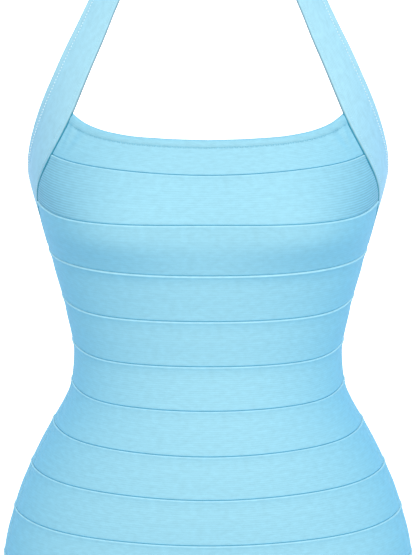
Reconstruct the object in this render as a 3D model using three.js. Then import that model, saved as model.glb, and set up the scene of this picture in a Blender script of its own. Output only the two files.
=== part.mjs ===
// Halter-neck bodycon dress of joined knit bands, filled out as it is worn, with nobody in it.
// Millimetres. The origin is the inner face of the strap at the back of the neck.
// +X is the wearer's left, +Y the back, +Z up.
import * as THREE from 'three';

// Cloth
const WALL = 2.0;
const STRAP_WALL = 3.0;
const HEM_WALL = 2.7;
const SEAM_GAP = 0.3;
const STRAP_GAP = 0.8;
const ROLLED_EDGE = 1.4;
const ROLLED_LIFT = 0.4;
const BAND_CROWN = 0.3;

// Garment heights
const BAND_DEPTH = 39.0;
const LOWEST_SHAPED_SEAM = 9;
const BAND_COUNT = 16;
const FIRST_BACK_BAND = 4;
const NECK_HEM_DEPTH = 8.5;
const BOTTOM_HEM_DEPTH = 24.0;
const STRAP_WIDTH = 27.0;

// Mesh fineness
const BAND_COLUMNS = 20;
const STRAP_COLUMNS = 100;
const STRIPS = 2;
const STRIPS_BESIDE_STRAP = 11;

// General figure, one row for each level: side line and depths are measured front to back
const FIGURE = [
  { height: 20, halfWidth: 54.0, sideLine: -56, front: 52, back: 54, power: 2.0 },
  { height: 0, halfWidth: 56.5, sideLine: -56, front: 54, back: 56, power: 2.0 },
  { height: -20, halfWidth: 66.0, sideLine: -59, front: 58, back: 63, power: 2.0 },
  { height: -42, halfWidth: 96.0, sideLine: -66, front: 62, back: 76, power: 2.1 },
  { height: -66, halfWidth: 126.0, sideLine: -74, front: 64, back: 86, power: 2.2 },
  { height: -95, halfWidth: 140.4, sideLine: -82, front: 72, back: 93, power: 2.25 },
  { height: -130, halfWidth: 146.1, sideLine: -88, front: 86, back: 98, power: 2.3 },
  { height: -170, halfWidth: 149.9, sideLine: -90, front: 100, back: 100, power: 2.3 },
  { height: -212, halfWidth: 149.8, sideLine: -90, front: 109, back: 99, power: 2.3 },
  { height: -250, halfWidth: 140.8, sideLine: -90, front: 113, back: 94, power: 2.3 },
  { height: -290, halfWidth: 130.4, sideLine: -90, front: 101, back: 86, power: 2.2 },
  { height: -330, halfWidth: 120.1, sideLine: -90, front: 92, back: 80, power: 2.1 },
  { height: -376, halfWidth: 113.2, sideLine: -90, front: 86, back: 78, power: 2.05 },
  { height: -405, halfWidth: 118.3, sideLine: -90, front: 89, back: 87, power: 2.05 },
  { height: -440, halfWidth: 137.3, sideLine: -90, front: 94, back: 103, power: 2.05 },
  { height: -480, halfWidth: 156.4, sideLine: -90, front: 98, back: 119, power: 2.05 },
  { height: -530, halfWidth: 172.2, sideLine: -90, front: 99, back: 127, power: 2.1 },
  { height: -600, halfWidth: 179.0, sideLine: -90, front: 96, back: 121, power: 2.2 },
  { height: -700, halfWidth: 169.0, sideLine: -90, front: 90, back: 102, power: 2.3 },
  { height: -800, halfWidth: 156.0, sideLine: -90, front: 85, back: 90, power: 2.3 },
];
const BACK_POWER = 2.1;

// Fullness that the front bands are shaped to, one soft mound on each side
const FULLNESS = { turn: 50, height: -247, swell: 12.5, round: 25, above: 48, below: 28, start: 22 };

// Seams between bands at the centre front, the side and the centre back, and how far each rises at the side
const SHAPED_SEAMS = [
  { seam: 1, front: -200.8, side: -191.1, back: -191.1, rise: 22.0 },
  { seam: 2, front: -240.5, side: -238.7, back: -238.7, rise: 15.0 },
  { seam: 3, front: -284.0, side: -281.4, back: -288.0, rise: 4.0 },
  { seam: 4, front: -324.6, side: -325.2, back: -327.0, rise: 8.0 },
  { seam: 5, front: -364.3, side: -365.3, back: -366.0, rise: 8.0 },
  { seam: 6, front: -402.1, side: -401.0, back: -401.5, rise: 8.0 },
  { seam: 7, front: -439.8, side: -435.4, back: -437.0, rise: 5.7 },
  { seam: 8, front: -476.2, side: -471.5, back: -474.0, rise: 4.5 },
  { seam: 9, front: -514.9, side: -511.6, back: -513.0, rise: 6.0 },
];

// How far round from the side the seams' rise reaches, in degrees
const SIDE_RISE_REACH = 20;

// Neckline from the centre front to the strap
const NECKLINE = [
  { turn: 90, height: -172.7 },
  { turn: 69, height: -171.6 },
  { turn: 54, height: -169.6 },
  { turn: 44, height: -165.9 },
  { turn: 37.5, height: -161.2 },
  { turn: 32, height: -154.5 },
];
const BACK_EDGE = { side: -256.0, back: -262.0 };
const SIDE_SEAM_TURN = 6;

// Strap, from its end under the left arm to the back of the neck: its edge on the front's side and
// its armhole edge, each as turn round the figure and height
const STRAP = [
  { innerTurn: -16.0, innerHeight: -281.0, outerTurn: -16.0, outerHeight: -256.2 },
  { innerTurn: -5.0, innerHeight: -278.2, outerTurn: -11.8, outerHeight: -252.8 },
  { innerTurn: 5.2, innerHeight: -275.4, outerTurn: -7.8, outerHeight: -246.5 },
  { innerTurn: 7.4, innerHeight: -268.8, outerTurn: -4.4, outerHeight: -239.5 },
  { innerTurn: 9.6, innerHeight: -259.0, outerTurn: -0.8, outerHeight: -229.0 },
  { innerTurn: 13.7, innerHeight: -242.0, outerTurn: 3.5, outerHeight: -216.0 },
  { innerTurn: 18.5, innerHeight: -223.5, outerTurn: 8.2, outerHeight: -202.0 },
  { innerTurn: 23.6, innerHeight: -204.0, outerTurn: 11.3, outerHeight: -187.0 },
  { innerTurn: 28.3, innerHeight: -183.0, outerTurn: 14.8, outerHeight: -169.0 },
  { innerTurn: 32.0, innerHeight: -160.0, outerTurn: 18.1, outerHeight: -148.0 },
  { innerTurn: 34.0, innerHeight: -134.0, outerTurn: 21.1, outerHeight: -123.0 },
  { innerTurn: 35.1, innerHeight: -107.0, outerTurn: 22.9, outerHeight: -97.0 },
  { innerTurn: 36.0, innerHeight: -80.0, outerTurn: 24.0, outerHeight: -70.0 },
  { innerTurn: 37.0, innerHeight: -56.0, outerTurn: 22.7, outerHeight: -48.0 },
  { innerTurn: 35.0, innerHeight: -34.0, outerTurn: 18.0, outerHeight: -33.0 },
  { innerTurn: 26.0, innerHeight: -13.0, outerTurn: 8.0, outerHeight: -24.0 },
  { innerTurn: 8.0, innerHeight: 2.0, outerTurn: -7.0, outerHeight: -18.5 },
  { innerTurn: -17.0, innerHeight: 9.0, outerTurn: -25.0, outerHeight: -15.0 },
  { innerTurn: -42.0, innerHeight: 11.5, outerTurn: -45.0, outerHeight: -13.0 },
  { innerTurn: -66.0, innerHeight: 12.3, outerTurn: -67.0, outerHeight: -12.3 },
  { innerTurn: -90.0, innerHeight: 12.5, outerTurn: -90.0, outerHeight: -12.5 },
];
const FIRST_ROW_ON_FRONT = 2;
const LAST_ROW_ON_FRONT = 11;

const radians = THREE.MathUtils.degToRad;
const degrees = THREE.MathUtils.radToDeg;
const mix = THREE.MathUtils.lerp;

// Smooth curve through a table's rows: the value of one column at a place along another
function alongTable(rows, across, column, place) {
  const rising = rows[1][across] > rows[0][across];
  const low = Math.min(rows[0][across], rows.at(-1)[across]);
  const high = Math.max(rows[0][across], rows.at(-1)[across]);
  const at = THREE.MathUtils.clamp(place, low, high);
  let index = 0;
  while (index < rows.length - 2 && (rising ? rows[index + 1][across] <= at : rows[index + 1][across] >= at)) {
    index += 1;
  }
  const slope = (i) => (rows[i + 1][column] - rows[i][column]) / (rows[i + 1][across] - rows[i][across]);
  const span = (i) => Math.abs(rows[i + 1][across] - rows[i][across]);
  const slopeAt = (i) => {
    if (i === 0) return slope(0);
    if (i === rows.length - 1) return slope(rows.length - 2);
    return (slope(i - 1) * span(i) + slope(i) * span(i - 1)) / (span(i - 1) + span(i));
  };
  const step = rows[index + 1][across] - rows[index][across];
  const t = (at - rows[index][across]) / step;
  const startWeight = 2 * t ** 3 - 3 * t ** 2 + 1;
  const startSlopeWeight = t ** 3 - 2 * t ** 2 + t;
  const endSlopeWeight = t ** 3 - t ** 2;
  return startWeight * rows[index][column] + (1 - startWeight) * rows[index + 1][column]
    + step * (startSlopeWeight * slopeAt(index) + endSlopeWeight * slopeAt(index + 1));
}

// Rise of the front where it is shaped, on both sides
function fullness(turn, height) {
  const reach = height > FULLNESS.height ? FULLNESS.above : FULLNESS.below;
  const level = Math.exp(-(((height - FULLNESS.height) / reach) ** 2));
  const mound = (side) => THREE.MathUtils.smoothstep(side, 0, FULLNESS.start)
    * Math.exp(-(((side - FULLNESS.turn) / FULLNESS.round) ** 2));
  return FULLNESS.swell * level * (mound(turn) + mound(180 - turn));
}

// Point of the figure: turn 0 is the left side, 90 the front, 180 the right side, 270 or -90 the back
function skin(turn, height) {
  const angle = radians(turn);
  const toFront = Math.sin(angle) >= 0;
  const halfWidth = alongTable(FIGURE, 'height', 'halfWidth', height);
  const depth = alongTable(FIGURE, 'height', toFront ? 'front' : 'back', height);
  const power = toFront ? alongTable(FIGURE, 'height', 'power', height) : BACK_POWER;
  const sides = Math.abs(Math.cos(angle) / halfWidth) ** power;
  const ends = Math.abs(Math.sin(angle) / depth) ** power;
  const reach = (sides + ends) ** (-1 / power) + fullness(turn, height);
  const sideLine = alongTable(FIGURE, 'height', 'sideLine', height);
  return new THREE.Vector3(reach * Math.cos(angle), sideLine - reach * Math.sin(angle), height);
}

// The same point raised out of the figure by the cloth's thickness
function raised(turn, height, lift) {
  const step = 0.5;
  const round = skin(turn + step, height).sub(skin(turn - step, height));
  const up = skin(turn, height + step).sub(skin(turn, height - step));
  const outward = up.cross(round).normalize();
  const point = skin(turn, height);
  return point.addScaledVector(outward, -lift * Math.sign(outward.dot(new THREE.Vector3(
    -Math.cos(radians(turn)), Math.sin(radians(turn)), 0))));
}

// Height of a seam at a turn; seams below the shaped ones are level bands of one depth
function seamHeight(seam, turn) {
  const row = SHAPED_SEAMS[Math.min(seam, LOWEST_SHAPED_SEAM) - 1];
  const middle = Math.sin(radians(turn)) >= 0 ? row.front : row.back;
  const below = Math.max(seam - LOWEST_SHAPED_SEAM, 0) * BAND_DEPTH;
  const levelled = Math.max(1 - below / (3 * BAND_DEPTH), 0);
  const dip = (middle - row.side) * levelled * Math.sin(radians(turn)) ** 2;
  const fromSide = degrees(Math.asin(Math.abs(Math.sin(radians(turn)))));
  const rise = row.rise * levelled * Math.exp(-((fromSide / SIDE_RISE_REACH) ** 2));
  return row.side + dip + rise - below;
}

function necklineHeight(turn) {
  return alongTable(NECKLINE, 'turn', 'height', turn > 90 ? 180 - turn : turn);
}

function backEdgeHeight(turn) {
  return mix(BACK_EDGE.side, BACK_EDGE.back, Math.sin(radians(turn)) ** 2);
}

// Strap's edges at a place along it, counted in rows of its table
const STRAP_PLACES = STRAP.map((row, index) => ({ ...row, place: index }));

function strapAt(place, across) {
  const column = (name) => alongTable(STRAP_PLACES, 'place', name, place);
  const turn = mix(column('innerTurn'), column('outerTurn'), across);
  const lowest = seamHeight(FIRST_BACK_BAND - 1, turn) + SEAM_GAP;
  return { turn, height: Math.max(mix(column('innerHeight'), column('outerHeight'), across), lowest) };
}

// Turn of the strap's inner edge at a height, where it lies on the front
function strapEdgeTurn(height) {
  let below = FIRST_ROW_ON_FRONT;
  let above = LAST_ROW_ON_FRONT;
  for (let pass = 0; pass < 24; pass += 1) {
    const place = (below + above) / 2;
    if (strapAt(place, 0).height < height) below = place;
    else above = place;
  }
  return strapAt(below, 0).turn;
}

// Closed wall between the rows of its outer face and the rows of its inner face
function wall(columns, outerRows, innerRows, pointAt) {
  const points = [];
  const faces = [];
  const grid = (rows) => rows.map((row) => Array.from({ length: columns + 1 }, (_, column) => {
    points.push(pointAt(column / columns, row.across, row.lift));
    return points.length - 1;
  }));
  const cover = (first, second) => {
    for (let column = 0; column < columns; column += 1) {
      faces.push(first[column], second[column], second[column + 1]);
      faces.push(first[column], second[column + 1], first[column + 1]);
    }
  };
  const outer = grid(outerRows);
  const inner = grid(innerRows);
  outer.slice(1).forEach((row, index) => cover(outer[index], row));
  inner.slice(1).forEach((row, index) => cover(row, inner[index]));
  cover(inner[0], outer[0]);
  cover(outer.at(-1), inner.at(-1));
  closeEnd(0, false);
  closeEnd(columns, true);

  // The end is zipped row by row, because it follows a curved edge
  function closeEnd(column, far) {
    const face = (a, b, c) => faces.push(...(far ? [a, b, c] : [a, c, b]));
    let out = 0;
    let back = 0;
    while (out < outer.length - 1 || back < inner.length - 1) {
      const outerNext = outerRows[out + 1]?.across ?? Infinity;
      const innerNext = innerRows[back + 1]?.across ?? Infinity;
      if (outerNext <= innerNext) {
        face(outer[out][column], outer[out + 1][column], inner[back][column]);
        out += 1;
      } else {
        face(outer[out][column], inner[back + 1][column], inner[back][column]);
        back += 1;
      }
    }
  }

  const geometry = new THREE.BufferGeometry();
  geometry.setAttribute('position', new THREE.Float32BufferAttribute(points.flatMap((p) => p.toArray()), 3));
  geometry.setIndex(enclosedVolume(points, faces) > 0 ? faces : faces.reverse());
  geometry.computeVertexNormals();
  return geometry;
}

function enclosedVolume(points, faces) {
  let total = 0;
  for (let face = 0; face < faces.length; face += 3) {
    const [a, b, c] = [points[faces[face]], points[faces[face + 1]], points[faces[face + 2]]];
    total += a.dot(b.clone().cross(c)) / 6;
  }
  return total;
}

// Rows of a wall from its upper to its lower edge: both edges are rolled in where they are sewn
function rolledRows(width, thickness, crown, strips) {
  const edge = ROLLED_EDGE / width;
  const inner = Array.from({ length: strips - 1 }, (_, index) => (index + 1) / strips);
  return [
    { across: 0, lift: thickness * ROLLED_LIFT },
    { across: edge, lift: thickness },
    ...inner.map((across) => ({ across, lift: thickness + crown * Math.sin(Math.PI * across) })),
    { across: 1 - edge, lift: thickness },
    { across: 1, lift: thickness * ROLLED_LIFT },
  ];
}

// The inner face is plain, with the same rows but the two rolled ones
function plainRows(rows) {
  return rows.filter((row, index) => index !== 1 && index !== rows.length - 2)
    .map((row) => ({ across: row.across, lift: 0 }));
}

// Band between an upper and a lower edge, each a height for a turn, and between two ends, each a
// turn for a height
function bandWall({ upper, lower, start, end, rows }) {
  return wall(BAND_COLUMNS, rows, plainRows(rows), (along, across, lift) => {
    let turn = mix(start(upper(90)), end(upper(90)), along);
    let height = upper(turn);
    for (let pass = 0; pass < 4; pass += 1) {
      height = mix(upper(turn) - SEAM_GAP / 2, lower(turn) + SEAM_GAP / 2, across);
      turn = mix(start(height), end(height), along);
    }
    return raised(turn, height, lift);
  });
}

// A gap as a turn at a height on the side of the figure
function gapTurn(height, gap) {
  return degrees(gap / alongTable(FIGURE, 'height', 'halfWidth', height));
}

function frontBand(number) {
  const upper = number === 1 ? necklineHeight : (turn) => seamHeight(number - 1, turn);
  const lower = (turn) => seamHeight(number, turn);
  const besideStrap = number < FIRST_BACK_BAND;
  const start = (height) => (besideStrap
    ? strapEdgeTurn(height) + gapTurn(height, STRAP_GAP)
    : SIDE_SEAM_TURN + gapTurn(height, SEAM_GAP / 2));
  const end = (height) => 180 - start(height);
  return bandWall({ upper, lower, start, end, rows: bandRows(number, upper(90) - lower(90)) });
}

// Turned hems are a step thicker than the band they are folded from
function bandRows(number, width) {
  const strips = number < FIRST_BACK_BAND ? STRIPS_BESIDE_STRAP : STRIPS;
  const rows = rolledRows(width, WALL, BAND_CROWN, strips);
  const edge = ROLLED_EDGE / width;
  if (number === 1) {
    const fold = NECK_HEM_DEPTH / width;
    return [
      { across: 0, lift: HEM_WALL * ROLLED_LIFT },
      { across: edge, lift: HEM_WALL },
      { across: fold - edge, lift: HEM_WALL },
      { across: fold, lift: WALL },
      ...rows.filter((row) => row.across > fold + edge),
    ];
  }
  if (number === BAND_COUNT) {
    const fold = 1 - BOTTOM_HEM_DEPTH / width;
    return [
      ...rows.slice(0, 2),
      { across: fold, lift: WALL },
      { across: fold + edge, lift: HEM_WALL },
      { across: 1 - edge, lift: HEM_WALL },
      { across: 1, lift: HEM_WALL * ROLLED_LIFT },
    ];
  }
  return rows;
}

function backBand(number) {
  const upper = (turn) => seamHeight(number - 1, turn);
  const lower = (turn) => seamHeight(number, turn);
  const start = (height) => 180 - SIDE_SEAM_TURN + gapTurn(height, SEAM_GAP / 2);
  const end = (height) => 360 + SIDE_SEAM_TURN - gapTurn(height, SEAM_GAP / 2);
  return bandWall({ upper, lower, start, end, rows: bandRows(number, upper(270) - lower(270)) });
}

function backTopBand() {
  const seamTurn = -STRAP[0].innerTurn;
  const lower = (turn) => seamHeight(FIRST_BACK_BAND - 1, turn);
  const start = (height) => 180 + seamTurn + gapTurn(height, SEAM_GAP);
  const end = (height) => 360 - seamTurn - gapTurn(height, SEAM_GAP);
  const rows = rolledRows(backEdgeHeight(270) - lower(270), STRAP_WALL, 0, STRIPS);
  return bandWall({ upper: backEdgeHeight, lower, start, end, rows });
}

// Strap of one folded band, mirrored at the back of the neck
function halterStrap() {
  const last = STRAP.length - 1;
  const rows = rolledRows(STRAP_WIDTH, STRAP_WALL, 0, STRIPS);
  return wall(STRAP_COLUMNS, rows, plainRows(rows), (along, across, lift) => {
    const onRight = along > 0.5;
    const { turn, height } = strapAt(last * (onRight ? 2 - 2 * along : 2 * along), across);
    const point = raised(turn, height, lift);
    return onRight ? point.setX(-point.x) : point;
  });
}

// Materials
const bandKnit = new THREE.MeshStandardMaterial({ color: '#9fd8ee', roughness: 0.62, metalness: 0 });
const strapKnit = new THREE.MeshStandardMaterial({ color: '#a6dcf0', roughness: 0.6, metalness: 0 });

// Assembly
const dress = new THREE.Group();
dress.name = 'bodycon_dress';

function addPiece(name, geometry, material) {
  const mesh = new THREE.Mesh(geometry, material.clone());
  mesh.name = name;
  dress.add(mesh);
}

const label = (number) => String(number).padStart(2, '0');
for (let number = 1; number <= BAND_COUNT; number += 1) {
  addPiece(`front_band_${label(number)}`, frontBand(number), bandKnit);
}
addPiece('back_top_band', backTopBand(), strapKnit);
for (let number = FIRST_BACK_BAND; number <= BAND_COUNT; number += 1) {
  addPiece(`back_band_${label(number)}`, backBand(number), bandKnit);
}
addPiece('halter_strap', halterStrap(), strapKnit);

export default dress;
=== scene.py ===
"""Halter-neck bodycon dress of joined knit bands: its cloth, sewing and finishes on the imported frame."""
import logging
import math
from dataclasses import dataclass, field
from enum import Enum
from typing import Callable, Sequence

import bpy
import numpy as np
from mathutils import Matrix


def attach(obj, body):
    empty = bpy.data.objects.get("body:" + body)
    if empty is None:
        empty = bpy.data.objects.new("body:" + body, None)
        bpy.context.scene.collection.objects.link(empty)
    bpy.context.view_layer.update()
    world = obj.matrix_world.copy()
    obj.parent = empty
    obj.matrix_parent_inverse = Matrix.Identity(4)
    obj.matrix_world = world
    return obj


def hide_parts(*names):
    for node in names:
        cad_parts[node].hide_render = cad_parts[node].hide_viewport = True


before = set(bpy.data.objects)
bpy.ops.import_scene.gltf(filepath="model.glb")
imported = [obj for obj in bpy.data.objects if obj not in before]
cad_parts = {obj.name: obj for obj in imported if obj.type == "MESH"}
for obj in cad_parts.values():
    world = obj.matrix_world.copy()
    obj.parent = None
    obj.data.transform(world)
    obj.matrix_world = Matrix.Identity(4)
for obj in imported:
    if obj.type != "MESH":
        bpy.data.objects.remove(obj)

Array = np.ndarray
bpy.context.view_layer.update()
LOG = logging.getLogger("bodycon_dress")

SEAM_COUNT = 16
FIRST_BACK_BAND = 4
SIDE_SEAM_TURN = 6.0
BACK_SEAM_TURN = -16.0
BAND_DEPTH = 0.039
LOWEST_SHAPED_SEAM = 9


class Panel(Enum):
    """The half of the dress that a band belongs to."""

    FRONT = "front"
    BACK = "back"


class Stitch(Enum):
    """The way a row of stitches runs along its line."""

    STRAIGHT = "straight"
    ZIGZAG = "zigzag"
    SLANTED = "slanted"


def blend(start: float | Array, end: float | Array, share: float | Array) -> float | Array:
    """Go from start to end by a share between 0 and 1."""
    return start + (end - start) * share


def eased(low: float, high: float, value: float | Array) -> float | Array:
    """Rise smoothly from 0 to 1 as value goes from low to high."""
    share = np.clip((value - low) / (high - low), 0.0, 1.0)
    return share * share * (3.0 - 2.0 * share)


def hump(value: float | Array, middle: float, spread: float) -> float | Array:
    """A soft bell of height 1 round a middle."""
    return np.exp(-(((value - middle) / spread) ** 2))


def along_rows(places: Sequence[float], values: Sequence[float], at: float | Array) -> Array:
    """Follow the smooth curve through a table's rows.

    Args:
        places: Where each row stands, rising or falling.
        values: The rows' values.
        at: The places wanted.

    Returns:
        The value at each place, held at the first and last rows beyond them.
    """
    place = np.asarray(places, float)
    value = np.asarray(values, float)
    if place[0] > place[-1]:
        place, value = place[::-1], value[::-1]
    at = np.clip(np.asarray(at, float), place[0], place[-1])
    span = np.diff(place)
    slope = np.diff(value) / span
    tangent = np.empty_like(value)
    tangent[0], tangent[-1] = slope[0], slope[-1]
    tangent[1:-1] = (slope[:-1] * span[1:] + slope[1:] * span[:-1]) / (span[:-1] + span[1:])
    row = np.clip(np.searchsorted(place, at, side="right") - 1, 0, len(place) - 2)
    t = (at - place[row]) / span[row]
    start_weight = 2 * t**3 - 3 * t**2 + 1
    start_slope = (t**3 - 2 * t**2 + t) * span[row] * tangent[row]
    end_slope = (t**3 - t**2) * span[row] * tangent[row + 1]
    return start_weight * value[row] + (1 - start_weight) * value[row + 1] + start_slope + end_slope


def spaced(length: float, fine: Sequence[float], count: int) -> Array:
    """Places along a length, close together at both ends.

    Args:
        length: The whole length in metres.
        fine: Distances from each end, the first of them 0.
        count: How many even steps fill the middle.

    Returns:
        The places in rising order.
    """
    near = np.asarray(fine)
    middle = np.linspace(near[-1], length - near[-1], count + 1)[1:-1]
    return np.concatenate([near, middle, length - near[::-1]])


@dataclass(frozen=True)
class Level:
    """One level of the general figure, in metres."""

    height: float
    half_width: float
    side_line: float
    front: float
    back: float
    power: float


@dataclass(frozen=True)
class Figure:
    """The general figure that the dress is cut for, as rings from the neck to the hem."""

    levels: tuple[Level, ...] = (
        Level(0.020, 0.0540, -0.056, 0.052, 0.054, 2.0),
        Level(0.000, 0.0565, -0.056, 0.054, 0.056, 2.0),
        Level(-0.020, 0.0660, -0.059, 0.058, 0.063, 2.0),
        Level(-0.042, 0.0960, -0.066, 0.062, 0.076, 2.1),
        Level(-0.066, 0.1260, -0.074, 0.064, 0.086, 2.2),
        Level(-0.095, 0.1404, -0.082, 0.072, 0.093, 2.25),
        Level(-0.130, 0.1461, -0.088, 0.086, 0.098, 2.3),
        Level(-0.170, 0.1499, -0.090, 0.100, 0.100, 2.3),
        Level(-0.212, 0.1498, -0.090, 0.109, 0.099, 2.3),
        Level(-0.250, 0.1408, -0.090, 0.113, 0.094, 2.3),
        Level(-0.290, 0.1304, -0.090, 0.101, 0.086, 2.2),
        Level(-0.330, 0.1201, -0.090, 0.092, 0.080, 2.1),
        Level(-0.376, 0.1132, -0.090, 0.086, 0.078, 2.05),
        Level(-0.405, 0.1183, -0.090, 0.089, 0.087, 2.05),
        Level(-0.440, 0.1373, -0.090, 0.094, 0.103, 2.05),
        Level(-0.480, 0.1564, -0.090, 0.098, 0.119, 2.05),
        Level(-0.530, 0.1722, -0.090, 0.099, 0.127, 2.1),
        Level(-0.600, 0.1790, -0.090, 0.096, 0.121, 2.2),
        Level(-0.700, 0.1690, -0.090, 0.090, 0.102, 2.3),
        Level(-0.800, 0.1560, -0.090, 0.085, 0.090, 2.3),
    )
    back_power: float = 2.1
    fullness_turn: float = 50.0
    fullness_height: float = -0.247
    fullness: float = 0.0125
    fullness_round: float = 25.0
    fullness_above: float = 0.048
    fullness_below: float = 0.028
    fullness_start: float = 22.0

    def column(self, name: str, height: Array) -> Array:
        """One measure of the rings at each height."""
        return along_rows([v.height for v in self.levels], [getattr(v, name) for v in self.levels], height)

    def swell(self, turn: Array, height: Array) -> Array:
        """The soft rise on both sides that the front bands are shaped to."""
        reach = np.where(height > self.fullness_height, self.fullness_above, self.fullness_below)
        level = np.exp(-(((height - self.fullness_height) / reach) ** 2))
        sides = 0.0
        for side in (turn, 180.0 - turn):
            sides = sides + hump(side, self.fullness_turn, self.fullness_round) * eased(0.0, self.fullness_start, side)
        return self.fullness * level * sides

    def skin(self, turn: Array, height: Array) -> Array:
        """Points of the figure.

        Args:
            turn: Degrees round the figure: 0 is the left side, 90 the front, -90 the back.
            height: Heights in metres.

        Returns:
            The points, with x, y and z in the last axis.
        """
        turn, height = np.broadcast_arrays(np.asarray(turn, float), np.asarray(height, float))
        angle = np.radians(turn)
        to_front = np.sin(angle) >= 0
        depth = np.where(to_front, self.column("front", height), self.column("back", height))
        power = np.where(to_front, self.column("power", height), self.back_power)
        sides = np.abs(np.cos(angle) / self.column("half_width", height)) ** power
        ends = np.abs(np.sin(angle) / depth) ** power
        reach = (sides + ends) ** (-1 / power) + self.swell(turn, height)
        y = self.column("side_line", height) - reach * np.sin(angle)
        return np.stack([reach * np.cos(angle), y, height], axis=-1)

    def outward(self, turn: Array, height: Array) -> Array:
        """The direction straight out of the figure at each point."""
        step_turn, step_height = 0.25, 0.0005
        around = self.skin(turn + step_turn, height) - self.skin(turn - step_turn, height)
        up = self.skin(turn, height + step_height) - self.skin(turn, height - step_height)
        normal = np.cross(up, around)
        angle = np.radians(turn)
        away = normal[..., 0] * np.cos(angle) - normal[..., 1] * np.sin(angle)
        normal = normal * np.sign(away)[..., None]
        return normal / np.linalg.norm(normal, axis=-1, keepdims=True)

    def raised(self, turn: Array, height: Array, lift: Array) -> Array:
        """The figure's points moved straight out by a lift in metres."""
        turn, height, lift = np.broadcast_arrays(turn, height, lift)
        return self.skin(turn, height) + self.outward(turn, height) * lift[..., None]


@dataclass(frozen=True)
class ShapedSeam:
    """Heights of one seam at the centre front, the side and the centre back, and its rise at the side."""

    front: float
    side: float
    back: float
    rise: float


@dataclass(frozen=True)
class SeamPlan:
    """Where the bands meet, and the two top edges of the dress."""

    shaped: tuple[ShapedSeam, ...] = (
        ShapedSeam(-0.2008, -0.1911, -0.1911, 0.0220),
        ShapedSeam(-0.2405, -0.2387, -0.2387, 0.0150),
        ShapedSeam(-0.2840, -0.2814, -0.2880, 0.0040),
        ShapedSeam(-0.3246, -0.3252, -0.3270, 0.0080),
        ShapedSeam(-0.3643, -0.3653, -0.3660, 0.0080),
        ShapedSeam(-0.4021, -0.4010, -0.4015, 0.0080),
        ShapedSeam(-0.4398, -0.4354, -0.4370, 0.0057),
        ShapedSeam(-0.4762, -0.4715, -0.4740, 0.0045),
        ShapedSeam(-0.5149, -0.5116, -0.5130, 0.0060),
    )
    neckline_turns: tuple[float, ...] = (90.0, 69.0, 54.0, 44.0, 37.5, 32.0)
    neckline_heights: tuple[float, ...] = (-0.1727, -0.1716, -0.1696, -0.1659, -0.1612, -0.1545)
    back_edge_side: float = -0.2560
    back_edge_middle: float = -0.2620
    bands_to_level: float = 3.0
    rise_reach: float = 20.0

    def seam(self, number: int, turn: Array) -> Array:
        """The height of a seam round the dress.

        Args:
            number: The seam, counted from the neckline down.
            turn: Degrees round the figure.

        Returns:
            The seam's height at each turn.
        """
        row = self.shaped[min(number, LOWEST_SHAPED_SEAM) - 1]
        below = max(number - LOWEST_SHAPED_SEAM, 0)
        levelled = max(1.0 - below / self.bands_to_level, 0.0)
        sine = np.sin(np.radians(turn))
        middle = np.where(sine >= 0, row.front, row.back)
        from_side = np.degrees(np.arcsin(np.clip(np.abs(sine), 0.0, 1.0)))
        rise = row.rise * levelled * np.exp(-((from_side / self.rise_reach) ** 2))
        return row.side + (middle - row.side) * levelled * sine**2 + rise - below * BAND_DEPTH

    def neckline(self, turn: Array) -> Array:
        """The height of the front's top edge at each turn."""
        return along_rows(self.neckline_turns, self.neckline_heights, np.where(turn > 90, 180 - turn, turn))

    def back_edge(self, turn: Array) -> Array:
        """The height of the back's top edge at each turn."""
        return blend(self.back_edge_side, self.back_edge_middle, np.sin(np.radians(turn)) ** 2)


@dataclass(frozen=True)
class StrapRow:
    """One section of the strap: its front edge and its armhole edge, as turn and height."""

    inner_turn: float
    inner_height: float
    outer_turn: float
    outer_height: float


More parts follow.
